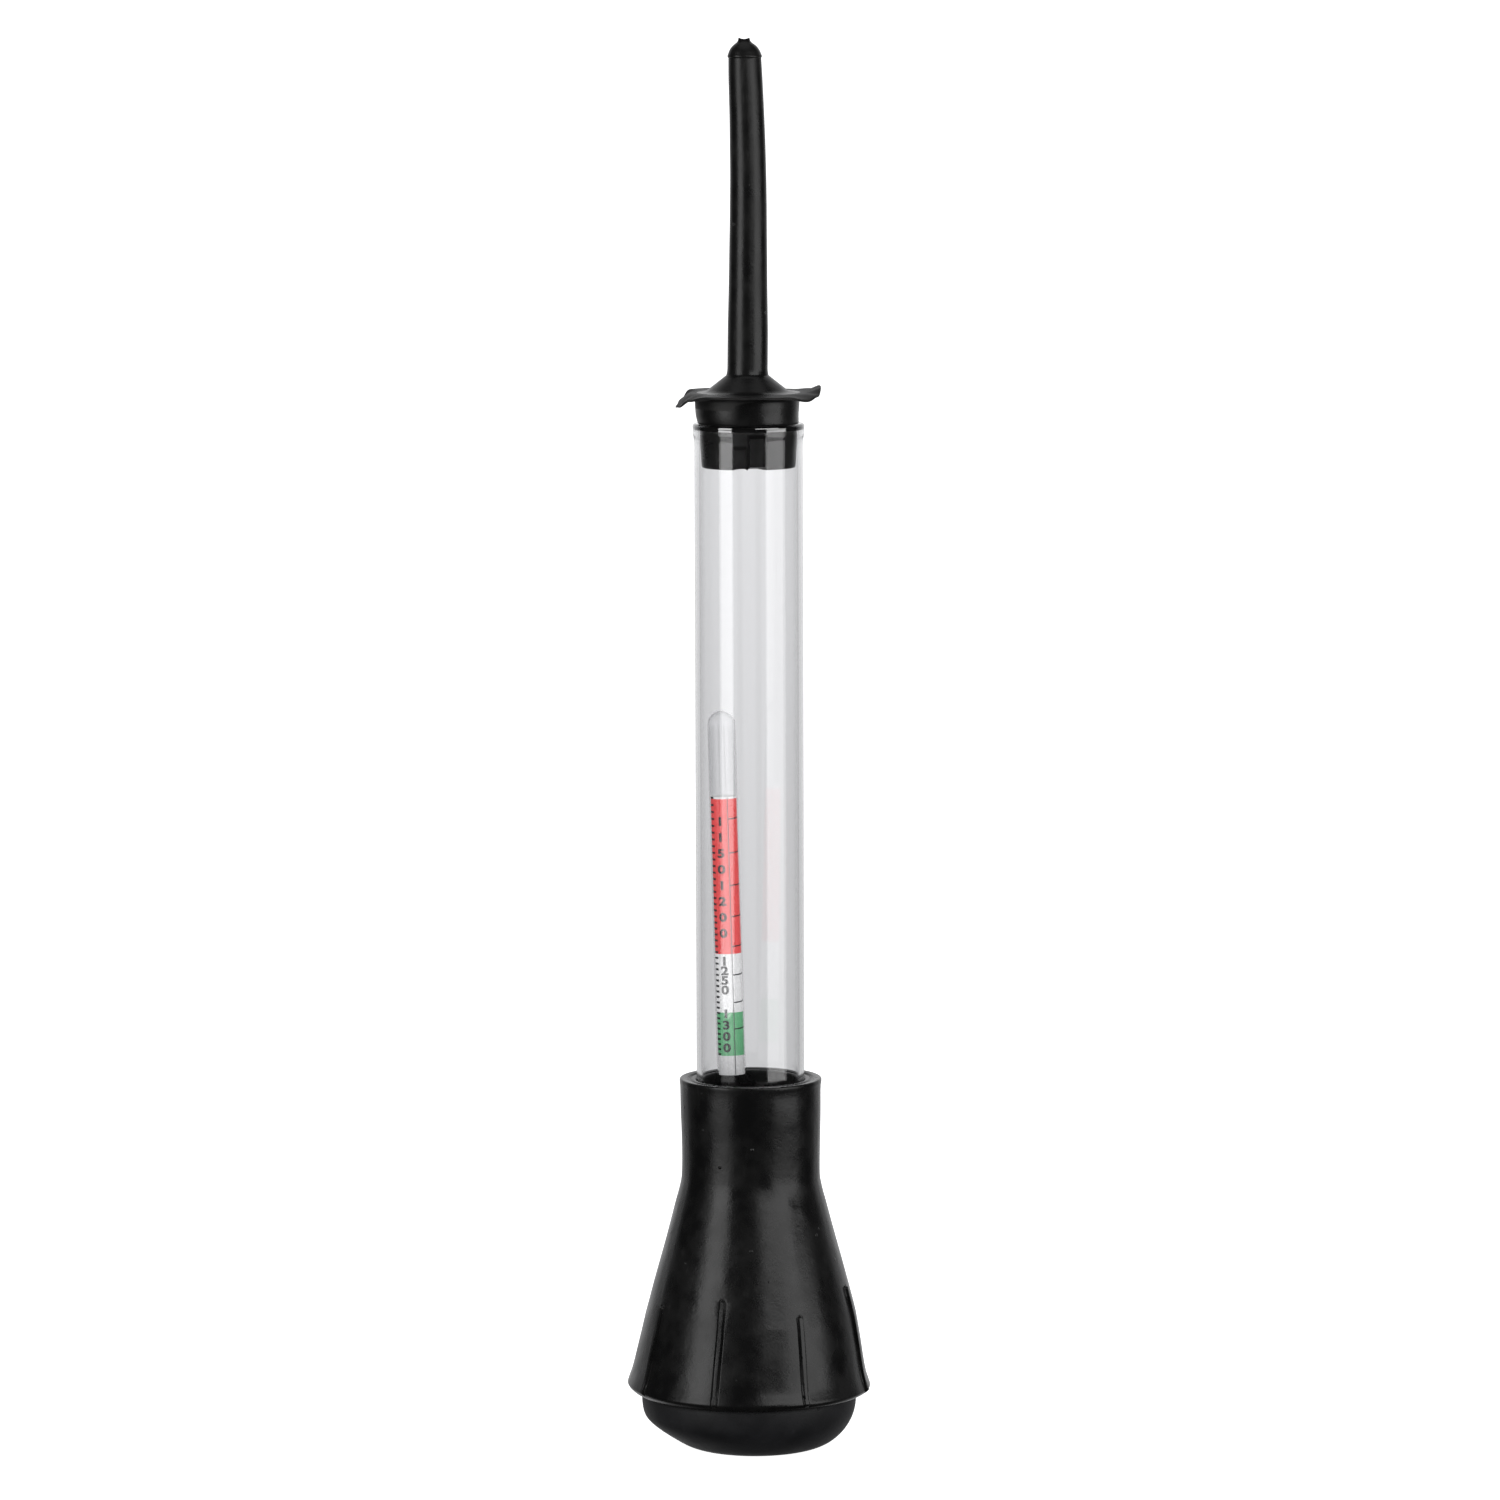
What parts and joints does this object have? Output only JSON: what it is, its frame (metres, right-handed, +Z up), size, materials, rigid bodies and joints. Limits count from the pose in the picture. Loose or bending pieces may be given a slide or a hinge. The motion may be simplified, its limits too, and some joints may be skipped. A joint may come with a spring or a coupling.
{
  "type": "suction hydrometer",
  "caption": "Squeeze-bulb suction hydrometer: glass barrel with a sealed weighted float and coloured scale, rubber stopper with a long suction tip, and a ribbed rubber bulb it stands on.",
  "frame": {"origin": "centre of the flat under the bulb, on the surface the part stands on", "axes": "+Z up along the barrel towards the suction tip, -Y towards the viewer, +X to the viewer's right"},
  "size_m": [0.0496, 0.0496, 0.287],
  "materials": {
    "black_rubber": "satin moulded rubber, faintly mottled and scuffed",
    "dome_rubber": "smooth satin moulded rubber",
    "clear_glass": "clear drawn tube with a fire-polished rim",
    "float_clear": "clear thin blown glass",
    "scale_paper": "printed paper with red, white and green bands",
    "lead_shot": "dull grey lead",
    "sealing_resin": "set sealing resin"
  },
  "bodies": {
    "bulb": {"squeeze_bulb": "black_rubber"},
    "dome": {"bulb_dome": "dome_rubber"},
    "barrel": {"glass_barrel": "clear_glass"},
    "tip": {"suction_tip": "black_rubber"},
    "float": {"float_glass": "float_clear", "float_scale": "scale_paper", "ballast_shot": "lead_shot", "ballast_seal": "sealing_resin"}
  },
  "joints": [
    {"name": "bulb_press", "type": "slide", "parent": "bulb", "child": "dome", "axis": [0, 0, 1], "range_m": [0, 0.006], "stiffness_N_per_m": 2500, "springref_m": -0.002, "deforming": ["bulb_dome"]},
    {"name": "barrel_pull", "type": "slide", "parent": "bulb", "child": "barrel", "axis": [0, 0, 1], "range_m": [0, 0.028]},
    {"name": "tip_pull", "type": "slide", "parent": "barrel", "child": "tip", "axis": [0, 0, 1], "range_m": [0, 0.02]},
    {"name": "float_rise", "type": "slide", "parent": "dome", "child": "float", "axis": [0, 0, 1], "range_m": [0, 0.043]}
  ]
}
